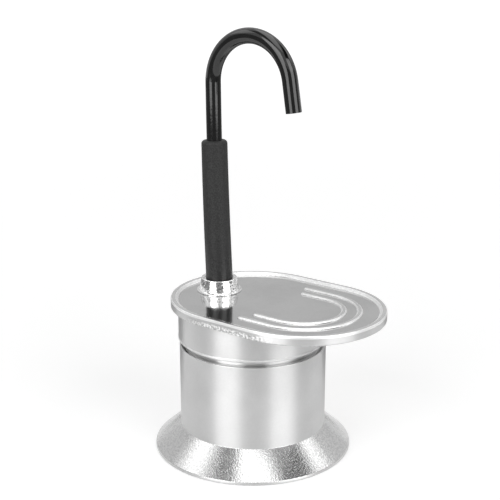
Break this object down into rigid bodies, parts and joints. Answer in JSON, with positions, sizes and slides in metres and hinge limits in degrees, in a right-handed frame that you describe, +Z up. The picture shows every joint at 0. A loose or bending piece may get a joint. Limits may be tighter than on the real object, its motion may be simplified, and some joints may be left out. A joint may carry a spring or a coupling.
{
  "type": "moka pot",
  "caption": "Small stove-top moka pot: flared aluminium boiler, screw-on head with an oval cup platform, and a bent black spout with a grip sleeve that pours into the cup.",
  "frame": {"origin": "centre of the flat base, on the boiler's axis", "axes": "+Z up along the boiler's axis, +X along the cup platform towards the cup, +Y towards the safety valve"},
  "size_m": [0.1015, 0.0838, 0.1769],
  "materials": {
    "cast_aluminium": "satin",
    "spun_aluminium": "spun",
    "bright_plate": "polished",
    "brass": "turned",
    "steel": "brushed",
    "silicone": "matt",
    "black_tube": "gloss",
    "grip": "matt, fine grain"
  },
  "bodies": {
    "boiler": {"boiler": "cast_aluminium", "valve_body": "brass", "valve_washer": "silicone", "valve_nut": "brass", "valve_cap": "brass", "valve_spring": "steel"},
    "valve_plunger": {"valve_plunger": "brass"},
    "funnel": {"filter_funnel": "spun_aluminium", "funnel_stem": "spun_aluminium", "funnel_screen": "steel"},
    "head": {"head": "cast_aluminium", "gasket": "silicone", "filter_plate": "steel", "outlet_nipple": "brass", "nipple_seal": "silicone", "nipple_lock_nut": "brass"},
    "spout_seal": {"spout_seal": "silicone"},
    "collar": {"collar_nut": "bright_plate"},
    "spout": {"spout_tube": "black_tube", "grip_sleeve": "grip", "tube_ferrule": "brass"}
  },
  "joints": [
    {"name": "valve_lift", "type": "slide", "parent": "boiler", "child": "valve_plunger", "axis": [0, 1, 0], "range_m": [0, 0.0015], "stiffness_N_per_m": 1000, "deforming": ["valve_spring"]},
    {"name": "funnel_lift", "type": "slide", "parent": "boiler", "child": "funnel", "axis": [0, 0, 1], "range_m": [0, 0.006]},
    {"name": "head_unscrew", "type": "hinge", "parent": "funnel", "child": "head", "pos_m": [0, 0, 0.055], "axis": [0, 0, 1], "range_deg": [0, 720.1]},
    {"name": "spout_lift", "type": "slide", "parent": "head", "child": "spout_seal", "axis": [0, 0, 1], "range_m": [0, 0.00167]},
    {"name": "collar_turn", "type": "hinge", "parent": "spout_seal", "child": "collar", "pos_m": [-0.01805, 0, 0.068], "axis": [0, 0, 1], "range_deg": [0, 600.2]},
    {"name": "spout_swivel", "type": "hinge", "parent": "spout_seal", "child": "spout", "pos_m": [-0.01805, 0, 0.068], "axis": [0, 0, 1], "continuous": true}
  ],
  "couplings": [
    {"joint": "head_unscrew", "follows": "funnel_lift", "rad_per_m": 2094.4},
    {"joint": "collar_turn", "follows": "spout_lift", "rad_per_m": 6283.2}
  ]
}
